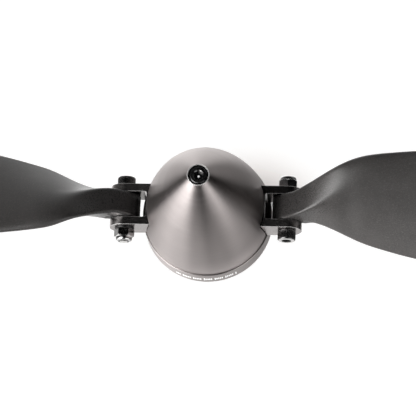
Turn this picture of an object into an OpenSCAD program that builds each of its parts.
// Two-blade folding propeller with a turned aluminium spinner.
// The shaft axis is Z and the nose points to +Z, called the front. The blades span X, the
// blade pivots run along Y, and the origin is the centre of the backplate's rear face.
// All sizes are in millimetres.

/* [Spinner] */
// Spinner diameter at the backplate
spinner_d = 40; // [38:0.5:42]
// Height of the backplate rim
rim_h = 6.8; // [6:0.1:7.4]
// Height of the nose tip above the backplate's rear face
nose_z = 45.8; // [43:0.1:50]
// Outside diameter of the ring around the nose screw
tip_d = 6.6; // [6.4:0.1:7.4]
// Wall thickness of the cone
cone_wall = 1.6; // [1.2:0.1:2]
// Slope of the cone's side at its base, radius per unit of height
base_slope = -0.16; // [-0.22:0.01:-0.12]
// Slope of the cone's side at its tip
tip_slope = -0.85; // [-1:0.01:-0.7]
// Number of rings that the cone's curve is drawn with
cone_steps = 48; // [24:4:72]

/* [Yoke] */
// Distance between the two blade pivots
pivot_span = 50; // [49:0.5:52]
// Width of the yoke across both ears
yoke_w = 13.1; // [12.9:0.1:13.6]
// Thickness of the yoke along the shaft
yoke_t = 9.2; // [8.8:0.1:9.6]
// Width of the slot that takes the blade root
slot_w = 8.1; // [8.06:0.02:8.2]
// Distance of the slot's inner wall from the shaft axis
slot_x = 18.2; // [17.8:0.1:18.6]
// Chamfer on the yoke's outer edges
yoke_chamfer = 0.3; // [0.1:0.05:0.4]

/* [Shaft clamp] */
// Diameter of the motor shaft that the collet grips
shaft_d = 5; // [4:0.5:5]
// Width of each slit in the collet
slit_w = 0.6; // [0.4:0.1:0.8]
// Depth of the shaft hole
shaft_hole = 15.6; // [14:0.2:16]

/* [Blade] */
// Propeller diameter, 15 inches
prop_d = 381; // [379:1:390]
// Propeller pitch, 8 inches
pitch = 203.2; // [180:0.1:230]
// Width of the blade root
root_w = 8; // [7.9:0.01:8]
// Radius of the root around its pivot
root_r = 4.6; // [4:0.1:4.7]

/* [Fasteners] */
// Diameter of the cap screw heads
head_d = 5.4; // [5.3:0.1:5.5]
// Height of the cap screw heads
head_h = 3.1; // [2.8:0.1:3.2]
// Length of a pivot screw under its head
pivot_len = 17.5; // [16.5:0.1:18]
// Lock nut size across its flats
nut_af = 5.4; // [5.3:0.1:5.5]
// Height of a lock nut
nut_h = 3.8; // [3.2:0.1:4]
// Thickness of the washer under a lock nut
washer_t = 0.4; // [0.3:0.1:0.5]
// Thickness of the washer under the nose screw
nose_washer_t = 0.3; // [0.2:0.1:0.4]

/* [Hidden] */
$fn = 96;
eps = 0.01;
over = 1;                      // how far a cutter runs past a face
right = 0;                     // a side is its turn about the shaft axis
left = 180;

spinner_r = spinner_d / 2;
prop_r = prop_d / 2;
pivot_x = pivot_span / 2;
pivot_z = rim_h + yoke_t / 2;
yoke_half_w = yoke_w / 2;
yoke_front = rim_h + yoke_t;
screw_seat_z = nose_z - 3.4;   // seat of the nose screw's washer
cavity_top = nose_z - 11;
spigot_r = spinner_r - 1.8;    // spigot on the backplate that centres the cone
spigot_h = 2;

// M3 fasteners
thread_r = 1.47;               // just under the hole
shank_r = 1.49;
hole_r = 1.5;
washer_hole_r = 1.6;
nylon_r = 2;
nylon_h = 1.04;
nylon_z = nut_h - 1.43;        // height of the nylon ring above the nut's seat

// Shaft clamp
collet_z = 0.4;                // rear face of the collet
collet_r = 4;
collet_bore_r = collet_r + 0.05;
clamp_washer_t = 1;
collet_nut_z = yoke_front + clamp_washer_t;
bush_r = 2;

// ---------- shared helpers ----------
module both_sides() {
    for (side = [right, left]) rotate([0, 0, side]) children();
}
// Frame of a pivot: its z runs to -Y on the right side and to +Y on the left
module at_pivot(side = right) {
    rotate([0, 0, side]) translate([pivot_x, 0, pivot_z]) rotate([90, 0, 0]) children();
}
// Frame at the ear's nut side, its z pointing outwards from the yoke
module at_nut_side(side, gap = 0) {
    at_pivot(side) translate([0, 0, -yoke_half_w - gap]) mirror([0, 0, 1]) children();
}
module ring(outer_r, inner_r, height) {
    difference() {
        cylinder(r = outer_r, h = height);
        translate([0, 0, -over]) cylinder(r = inner_r, h = height + 2 * over);
    }
}
// A thread drawn as separate ridges, along +Z from z = 0
module thread_rings(length, major_r, depth = 0.26, thread_pitch = 0.5) {
    count = floor(length / thread_pitch);
    root = major_r - depth;
    rotate_extrude() polygon(concat(
        [[0, 0]],
        [for (i = [0 : count - 1])
            each [[root, i * thread_pitch], [major_r, (i + 0.5) * thread_pitch]]],
        [[root, count * thread_pitch], [root, length], [0, length]]));
}

// ---------- spinner cone ----------
// The slope runs as a quadratic from base_slope to tip_slope, so the radius is a cubic.
cone_h = nose_z - rim_h;
slope_change = tip_slope - base_slope;
mean_change = (tip_d / 2 - spinner_r) / cone_h - base_slope;
slope_quadratic = (slope_change / 2 - mean_change) / (1 / 2 - 1 / 3);
slope_linear = slope_change - slope_quadratic;
function cone_r(z) = let (s = (z - rim_h) / cone_h)
    spinner_r + cone_h * (base_slope * s + slope_linear * s * s / 2
        + slope_quadratic * s * s * s / 3);

module cone_outline() {
    seam = 0.02;               // gap to the backplate
    edge_z = seam + 0.2;       // top of the chamfer at the base
    polygon(concat(
        [[0, rim_h + seam], [spinner_r - 0.3, rim_h + seam]],
        [for (i = [0 : cone_steps])
            let (z = rim_h + edge_z + (cone_h - edge_z) * i / cone_steps) [cone_r(z), z]],
        [[0, nose_z]]));
}
module cone_cavity() {
    steps = 24;
    thicken_z = 22;            // the wall thickens above this height
    thicken_rate = 0.06;
    socket_r = spigot_r + 0.05;
    socket_h = spigot_h + 0.2;
    roof_z = cavity_top + 0.6;
    polygon(concat(
        [[0, rim_h - over], [socket_r, rim_h - over], [socket_r, rim_h + socket_h]],
        [for (i = [0 : steps]) let (z = rim_h + (cavity_top - rim_h) * i / steps)
            if (z > rim_h + socket_h + 0.1)
                [cone_r(z) - cone_wall - max(0, z - thicken_z) * thicken_rate, z]],
        [[4.4, roof_z], [0, roof_z]]));
}
module spinner_cone() {
    side_gap = 0.3;
    front_gap = 0.4;
    color([0.60, 0.58, 0.57]) difference() {
        rotate_extrude() cone_outline();
        rotate_extrude() cone_cavity();
        // seat and hole of the nose screw
        translate([0, 0, screw_seat_z]) cylinder(r = 3.05, h = 5);
        translate([0, 0, cavity_top - over]) cylinder(r = 1.65, h = 16);
        // openings for the yoke's two arms
        both_sides() translate([0, -yoke_half_w - side_gap, rim_h - over])
            cube([spinner_r + 2, yoke_w + 2 * side_gap, yoke_t + front_gap + over]);
    }
}

// ---------- fasteners ----------
// Socket head cap screw: head from z = 0 to head_h, shank towards -Z.
// The shank is plain for plain_len under the head and threaded beyond it.
module cap_screw(length, plain_len) {
    head_r = head_d / 2;
    socket_af = 2.5;
    socket_depth = 1.6;
    difference() {
        union() {
            rotate_extrude() polygon([
                [0, 0], [head_r - 0.15, 0], [head_r, 0.15], [head_r, head_h - 0.35],
                [head_r - 0.12, head_h - 0.12], [head_r - 0.35, head_h], [0, head_h]]);
            translate([0, 0, -plain_len]) cylinder(r = shank_r, h = plain_len + 0.5);
            translate([0, 0, -length]) thread_rings(length - plain_len, thread_r);
        }
        // hexagon socket with its lead-in
        translate([0, 0, head_h - socket_depth])
            cylinder(r = socket_af / sqrt(3), h = 2, $fn = 6);
        translate([0, 0, head_h - 0.2]) cylinder(r1 = 1.3, r2 = 1.56, h = 0.26);
    }
}
module nose_screw() {
    color([0.10, 0.10, 0.10]) translate([0, 0, screw_seat_z + nose_washer_t])
        cap_screw(length = 20, plain_len = 4);
}
module pivot_screw(side) {
    color([0.12, 0.12, 0.12]) at_pivot(side) translate([0, 0, yoke_half_w])
        cap_screw(length = pivot_len, plain_len = 12.2);
}
module nose_washer() {
    color([0.75, 0.75, 0.76]) translate([0, 0, screw_seat_z])
        ring(2.98, washer_hole_r, nose_washer_t);
}
module pivot_washer(side) {
    color([0.25, 0.25, 0.26]) at_nut_side(side) ring(3, washer_hole_r, washer_t);
}
// Nut with a nylon ring in its collar: seat at z = 0, collar towards +Z
module lock_nut_body() {
    difference() {
        intersection() {
            union() {
                cylinder(r = nut_af / sqrt(3), h = nut_h - 1.25, $fn = 6);
                cylinder(r = nut_af / 2 - 0.1, h = nut_h);
            }
            // rounds the hexagon's corners and the collar
            rotate_extrude() polygon([
                [0, 0], [2.72, 0], [3.18, 0.28], [3.18, nut_h - 1.62],
                [2.66, nut_h - 1.30], [2.64, nut_h - 0.75], [2.52, nut_h - 0.4],
                [2.25, nut_h - 0.14], [1.95, nut_h], [0, nut_h]]);
        }
        translate([0, 0, -over]) cylinder(r = hole_r, h = nut_h + 2 * over);
        // groove of the nylon ring, and the opening above it
        translate([0, 0, nylon_z - 0.02]) cylinder(r = nylon_r + 0.02, h = 1.1);
        translate([0, 0, nut_h - 0.36]) cylinder(r = 1.72, h = 1);
        // countersink at the seat
        translate([0, 0, -eps]) cylinder(r1 = hole_r + 0.25, r2 = hole_r, h = 0.25 + eps);
    }
}
module lock_nut(side) {
    color([0.72, 0.72, 0.73]) at_nut_side(side, washer_t) lock_nut_body();
}
module nylon_ring(side) {
    color([0.82, 0.84, 0.88]) at_nut_side(side, washer_t)
        translate([0, 0, nylon_z]) ring(nylon_r, hole_r, nylon_h);
}

// ---------- backplate ----------
module backplate() {
    gap = 0.1;                 // on each side of the yoke
    color([0.62, 0.60, 0.59]) difference() {
        union() {
            // hub, web and rim around a ring-shaped pocket that is open to the rear
            rotate_extrude() polygon([
                [0, 0], [8.6, 0], [9, 0.4], [9, 4.0], [9.6, 4.6],
                [16.6, 4.6], [17.2, 4.0], [17.2, 0.3], [17.5, 0],
                [spinner_r - 0.15, 0], [spinner_r, 0.15],
                [spinner_r, rim_h - 0.2], [spinner_r - 0.2, rim_h], [0, rim_h]]);
            // spigot that centres the cone
            rotate_extrude() polygon([
                [16.4, rim_h - 1], [spigot_r, rim_h - 1], [spigot_r, rim_h + spigot_h - 0.3],
                [spigot_r - 0.3, rim_h + spigot_h], [16.4, rim_h + spigot_h]]);
        }
        // channel that keys the yoke
        translate([-spinner_r - over, -yoke_half_w - gap, rim_h])
            cube([2 * (spinner_r + over), yoke_w + 2 * gap, 4]);
        // taper that closes the collet
        translate([0, 0, -eps]) cylinder(r1 = 5.6, r2 = 4.12, h = rim_h + 2 * eps);
    }
}

// ---------- yoke ----------
ear_r = yoke_t / 2;
slot_half_w = slot_w / 2;
slot_flare = 0.2;              // flare at the slot's mouth
flare_half_w = slot_half_w + slot_flare + eps;

module yoke_bar_profile() {    // the bar's section in Y and Z
    w = yoke_half_w;
    c = yoke_chamfer;
    polygon([
        [-w + c, rim_h], [w - c, rim_h], [w, rim_h + c], [w, yoke_front - c],
        [w - c, yoke_front], [-w + c, yoke_front], [-w, yoke_front - c], [-w, rim_h + c]]);
}
// Cutter for the right side's slot, its flares and its pivot hole
module slot_cutter() {
    corner_r = 0.8;
    cut_z = rim_h - over;
    cut_h = yoke_t + 2 * over;
    outer_x = pivot_x + 8;
    // slot with rounded inner corners
    translate([slot_x + corner_r, -slot_half_w, cut_z])
        cube([outer_x - slot_x - corner_r, slot_w, cut_h]);
    translate([slot_x, -slot_half_w + corner_r, cut_z])
        cube([1, slot_w - 2 * corner_r, cut_h]);
    for (t = [-1, 1]) translate([slot_x + corner_r, t * (slot_half_w - corner_r), cut_z])
        cylinder(r = corner_r, h = cut_h);
    // flares along the rear and front faces, as [height, outward direction]
    flare_x = slot_x + 0.5;
    for (face = [[rim_h, -1], [yoke_front, 1]]) {
        inner_z = face[0] - face[1] * slot_flare;
        outer_z = face[0] + face[1] * eps;
        rotate([90, 0, 90]) translate([0, 0, flare_x]) linear_extrude(pivot_x - flare_x)
            polygon([
                [-slot_half_w, inner_z], [-flare_half_w, outer_z],
                [flare_half_w, outer_z], [slot_half_w, inner_z]]);
    }
    // flare round the end, outward of the pivot only
    difference() {
        at_pivot() rotate_extrude() polygon([
            [ear_r - slot_flare, -slot_half_w], [ear_r + eps, -flare_half_w],
            [ear_r + 1, -flare_half_w], [ear_r + 1, flare_half_w],
            [ear_r + eps, flare_half_w], [ear_r - slot_flare, slot_half_w]]);
        translate([-1, -20, -20]) cube([pivot_x + 1, 40, 60]);
    }
    // pivot hole through both ears
    at_pivot() translate([0, 0, -20]) cylinder(r = 1.55, h = 40);
}
module yoke() {
    w = yoke_half_w;
    c = yoke_chamfer;
    color([0.66, 0.65, 0.64]) difference() {
        union() {
            rotate([90, 0, 90]) translate([0, 0, -pivot_x])
                linear_extrude(pivot_span) yoke_bar_profile();
            // round ends
            both_sides() at_pivot() rotate_extrude() polygon([
                [0, -w], [ear_r - c, -w], [ear_r, -w + c],
                [ear_r, w - c], [ear_r - c, w], [0, w]]);
            // round hub under the cone
            translate([0, 0, rim_h]) rotate_extrude() polygon([
                [0, 0], [9.2, 0], [9.6, 0.4], [9.6, yoke_t - 0.6], [9.0, yoke_t], [0, yoke_t]]);
        }
        both_sides() slot_cutter();
        // bore for the collet, chamfered at the front
        translate([0, 0, rim_h - over]) cylinder(r = collet_bore_r, h = yoke_t + 2 * over);
        translate([0, 0, yoke_front - 0.4])
            cylinder(r1 = collet_bore_r, r2 = 4.5, h = 0.4 + eps);
    }
}

// ---------- shaft clamp ----------
module collet() {
    shaft_r = shaft_d / 2;
    lead_in = 0.3;
    body_z = 5.5;
    body_top = collet_nut_z + 0.2;
    slits = 3;
    color([0.70, 0.70, 0.72]) difference() {
        union() {
            translate([0, 0, collet_z]) cylinder(r1 = 5.45, r2 = 4.15, h = 5.6);
            translate([0, 0, body_z]) cylinder(r = collet_r, h = body_top - body_z);
            translate([0, 0, body_top - 0.1])
                thread_rings(5.4, collet_r - 0.02, depth = 0.4, thread_pitch = 0.75);
        }
        // shaft hole with its lead-in, and a narrower hole on through the front
        translate([0, 0, -over]) cylinder(r = shaft_r, h = over + collet_z + shaft_hole);
        translate([0, 0, collet_z - eps])
            cylinder(r1 = shaft_r + lead_in, r2 = shaft_r, h = lead_in + eps);
        translate([0, 0, shaft_hole]) cylinder(r = 1.8, h = 12);
        for (k = [0 : slits - 1]) rotate([0, 0, 90 + k * 360 / slits])
            translate([1.2, -slit_w / 2, -over]) cube([8, slit_w, 12.5]);
    }
}
module clamp_washer() {
    t = clamp_washer_t;
    color([0.55, 0.55, 0.56]) translate([0, 0, yoke_front]) difference() {
        rotate_extrude() polygon([[0, 0], [6.6, 0], [6.8, 0.2], [6.8, t - 0.2], [6.6, t], [0, t]]);
        translate([0, 0, -over]) cylinder(r = 4.15, h = t + 2 * over);
    }
}
module collet_nut() {
    flats = 12;
    hex_h = 5.6;
    color([0.58, 0.58, 0.60]) translate([0, 0, collet_nut_z]) difference() {
        union() {
            // hexagon with rounded corners
            intersection() {
                cylinder(r = flats / sqrt(3), h = hex_h, $fn = 6);
                rotate_extrude() polygon([
                    [0, 0], [6.3, 0], [6.9, 0.4], [6.9, hex_h - 0.5], [6.0, hex_h], [0, hex_h]]);
            }
            // stepped stem towards the nose
            rotate_extrude() polygon([
                [0, 0.5], [4.9, 0.5], [4.9, 7], [4.2, 7.6],
                [3.6, 8], [3.6, 13], [3.2, 13.4], [0, 13.4]]);
        }
        translate([0, 0, -over]) cylinder(r = collet_bore_r, h = hex_h + over);
        cylinder(r = hole_r, h = 20);
        translate([0, 0, -eps]) cylinder(r1 = 4.4, r2 = collet_bore_r, h = 0.35 + eps);
    }
}

// ---------- blade ----------
// Smooth interpolation of a table of [station, value] rows
function row_at(table, x, i = 0) =
    (i >= len(table) - 2 || x < table[i + 1][0]) ? i : row_at(table, x, i + 1);
function step_slope(table, i) =
    (table[i + 1][1] - table[i][1]) / (table[i + 1][0] - table[i][0]);
function row_slope(table, i) =
    i <= 0 ? step_slope(table, 0)
    : i >= len(table) - 1 ? step_slope(table, i - 1)
    : let (before = table[i][0] - table[i - 1][0], after = table[i + 1][0] - table[i][0])
        (step_slope(table, i - 1) * after + step_slope(table, i) * before) / (before + after);
function curve(table, x) =
    let (i = row_at(table, x), step = table[i + 1][0] - table[i][0],
        u = min(1, max(0, (x - table[i][0]) / step)), u2 = u * u, u3 = u2 * u)
    (2 * u3 - 3 * u2 + 1) * table[i][1] + (u3 - 2 * u2 + u) * step * row_slope(table, i)
    + (3 * u2 - 2 * u3) * table[i + 1][1] + (u3 - u2) * step * row_slope(table, i + 1);
function smooth(from, to, x) =
    let (u = min(1, max(0, (x - from) / (to - from)))) u * u * (3 - 2 * u);

// Aerofoil tables, as [station, value]. A station is the distance from the shaft axis.
foil_start = 44;
chords = [
    [foil_start, 25.2], [48, 27.7], [54, 30], [60, 31.9], [66, 33.5], [76, 34.6], [88, 34.6],
    [104, 33.4], [122, 30.6], [142, 26.2], [160, 21.2], [174, 16], [183, 11.2], [188, 7],
    [prop_r, 2.4]];
middle_y = [                   // Y of the chord's middle
    [foil_start, 1.1], [48, 0.6], [54, 0.2], [60, -0.4], [66, -0.7], [76, -1.6], [88, -2.3],
    [122, -4.1], [150, -5.7], [172, -8], [184, -9.9], [prop_r, -11.2]];
middle_z = [                   // Z of the chord's middle
    [foil_start, 21.4], [48, 22], [54, 21.7], [60, 21.6], [66, 21.3], [76, 21.2],
    [120, 20.7], [prop_r, 20]];
thicknesses = [
    [foil_start, 6.6], [48, 5.5], [54, 4.6], [60, 4.1], [70, 3.7], [88, 3.3], [122, 2.7],
    [150, 2.1], [174, 1.6], [prop_r, 1.1]];

// Corners of the neck's section, as [station, Y] and [station, Z], in the order
// front leading, front trailing, trailing fin, rear trailing, rear leading
corner_y = [
    [[21.4, 3.9], [25, 3.9], [27, 3.9], [29.2, 4.5], [31.5, 5.4],
        [34, 6.4], [37, 8.2], [41, 8.3], [48, 12.2]],
    [[21.4, -3.9], [25, -3.9], [27, -3.9], [29.2, -3.7], [31.5, -3.1],
        [34, -2.4], [37, -1.2], [41, -0.2], [48, 2.6]],
    [[21.4, -3.9], [25, -3.9], [27, -3.9], [29.2, -4], [31.5, -4],
        [34, -5], [37, -6], [41, -7.1], [48, -11]],
    [[21.4, -3.9], [25, -3.9], [27, -3.9], [29.2, -4], [31.5, -4.8],
        [34, -4.4], [37, -3.6], [41, -2.6], [48, -1.5]],
    [[21.4, 3.9], [25, 3.9], [27, 3.9], [29.2, 4], [31.5, 4.7],
        [34, 4.7], [37, 5.2], [41, 5.6], [48, 4.5]]];
corner_z = [
    [[21.4, 13.2], [23, 16], [25, 18], [27, 19.6], [29.2, 21.2], [31.5, 23],
        [34, 25.3], [37, 27.2], [41, 31.3], [48, 29.3]],
    [[21.4, 13.2], [23, 15.4], [25, 17.3], [27, 19.1], [29.2, 20.7], [31.5, 22.6],
        [34, 23.6], [37, 24.5], [41, 25.5], [48, 27]],
    [[21.4, 11.4], [25, 11.8], [27, 13.2], [29.2, 14.6], [31.5, 15.4],
        [34, 14.8], [37, 13.7], [41, 13.3], [48, 13.6]],
    [[21.4, 9.8], [25, 8.9], [27, 10.6], [29.2, 10.7], [31.5, 12.6],
        [34, 14.3], [37, 15.7], [41, 16.8], [48, 17.5]],
    [[21.4, 9.8], [25, 8.9], [27, 10.6], [29.2, 11.5], [31.5, 14.2],
        [34, 17.7], [37, 20.2], [41, 21.6], [48, 21.2]]];
function corner(k, x) = [curve(corner_y[k], x), curve(corner_z[k], x)];

// Stations where sections are drawn
stations = [
    21.4, 22.2, 23, 24, 25, 26.2, 27.6, 29, 30.4, 31.8, 33.2, 34.6, 36, 37.5, 39, 40.6, 42.2,
    44, 46, 48.5, 51.5, 55, 59, 64, 70, 78, 87, 97, 107, 117, 127, 137, 146, 155, 163, 170,
    176, 181, 184.8, 187.4, 189.3, prop_r];

// Half thickness and camber of the aerofoil at chord fraction s
trailing_half_t = 0.25;        // rounded off over the last 0.012 of the chord
camber_ratio = 0.036;
function half_thickness(s, t) =
    5 * t * (0.2969 * sqrt(max(0, s)) - 0.1260 * s - 0.3516 * s * s
        + 0.2843 * s * s * s - 0.1036 * s * s * s * s)
    + trailing_half_t * s * sqrt(min(1, max(0, (1 - s) / 0.012)));
function camber(s, chord) = 4 * camber_ratio * chord * s * (1 - s);
// Point [Y, Z] of the aerofoil at an angle: 0 is the leading edge,
// 0 to 180 the front side, 180 to 360 the rear side
function foil_point(x, angle) =
    let (chord = curve(chords, x), twist = atan(pitch / (2 * PI * x)),
        s = (1 - cos(angle)) / 2, side = angle <= 180 ? 1 : -1,
        lift = camber(s, chord) + side * half_thickness(s, curve(thicknesses, x)))
    [curve(middle_y, x), curve(middle_z, x)]
    + (0.5 - s) * chord * [cos(twist), sin(twist)] + lift * [-sin(twist), cos(twist)];

// Centre angle of each corner on the aerofoil, and the half width of its span
corner_angle = [0, 76, 180, 251, 291];
corner_half_span = [20, 13, 15, 9, 9];
corners = len(corner_angle);
arc_points = 5;                // points round each corner
side_points = 2;               // points between two corners
corner_points = arc_points + side_points;

// Point at a distance from one point towards another
function towards(from, to, distance) = from + (to - from) / norm(to - from) * distance;
// Point j of corner k on the neck
function neck_point(x, k, j) =
    let (here = corner(k, x), last = corner((k + corners - 1) % corners, x),
        next = corner((k + 1) % corners, x), round_r = 0.9 + smooth(31, 44, x) * 2.2,
        next_r = min(round_r, norm(next - here) * 0.42), arc_end = towards(here, next, next_r))
    j < arc_points
    ? let (t = j / (arc_points - 1),
        arc_start = towards(here, last, min(round_r, norm(last - here) * 0.42)))
        (1 - t) * (1 - t) * arc_start + 2 * t * (1 - t) * here + t * t * arc_end
    : let (t = (j - arc_points + 1) / (side_points + 1))
        (1 - t) * arc_end + t * towards(next, here, next_r);
function foil_angle(k, j) =
    let (half = corner_half_span[k], end = corner_angle[k] + half, next = (k + 1) % corners)
    j < arc_points
    ? corner_angle[k] - half + 2 * half * j / (arc_points - 1)
    : let (next_start = (next == 0 ? 360 : corner_angle[next]) - corner_half_span[next])
        end + (next_start - end) * (j - arc_points + 1) / (side_points + 1);
// The neck's section turns into the aerofoil between stations 36 and 47
function section_point(x, k, j) =
    let (w = smooth(36, 47, x), a = foil_angle(k, j), angle = a < 0 ? a + 360 : a)
    w <= 0 ? neck_point(x, k, j)
    : w >= 1 ? foil_point(x, angle)
    : (1 - w) * neck_point(x, k, j) + w * foil_point(max(foil_start, x), angle);
function section(x) = [
    for (k = [0 : corners - 1]) for (j = [0 : corner_points - 1])
        let (p = section_point(x, k, j)) [x, p[0], p[1]]];

module blade_shape() {
    count = corners * corner_points;
    tip = (len(stations) - 1) * count;   // first point of the tip section
    polyhedron(
        points = [for (x = stations) each section(x)],
        faces = concat(
            [for (i = [1 : count - 2]) [0, i, i + 1]],
            [for (i = [1 : count - 2]) [tip, tip + i + 1, tip + i]],
            [for (e = [0 : len(stations) - 2]) for (i = [0 : count - 1])
                let (a = e * count + i, b = e * count + (i + 1) % count)
                each [[a, a + count, b + count], [a, b + count, b]]]));
}
module blade(side) {
    color([0.16, 0.16, 0.16]) rotate([0, 0, side]) difference() {
        union() {
            blade_shape();
            at_pivot() translate([0, 0, -root_w / 2]) cylinder(r = root_r, h = root_w);
        }
        at_pivot() translate([0, 0, -10]) cylinder(r = bush_r + 0.01, h = 20);
    }
}
module blade_bush(side) {
    color([0.78, 0.62, 0.32]) at_pivot(side) translate([0, 0, -root_w / 2])
        ring(bush_r, 1.53, root_w);
}

spinner_cone();
nose_screw();
backplate();
yoke();
collet();
collet_nut();
clamp_washer();
blade(right);  // blade_right
blade(left);  // blade_left
blade_bush(right);  // blade_bush_right
blade_bush(left);  // blade_bush_left
pivot_screw(right);  // pivot_screw_right
pivot_screw(left);  // pivot_screw_left
lock_nut(right);  // lock_nut_right
lock_nut(left);  // lock_nut_left
nylon_ring(right);  // nylon_ring_right
nylon_ring(left);  // nylon_ring_left
pivot_washer(right);  // pivot_washer_right
pivot_washer(left);  // pivot_washer_left
nose_washer();
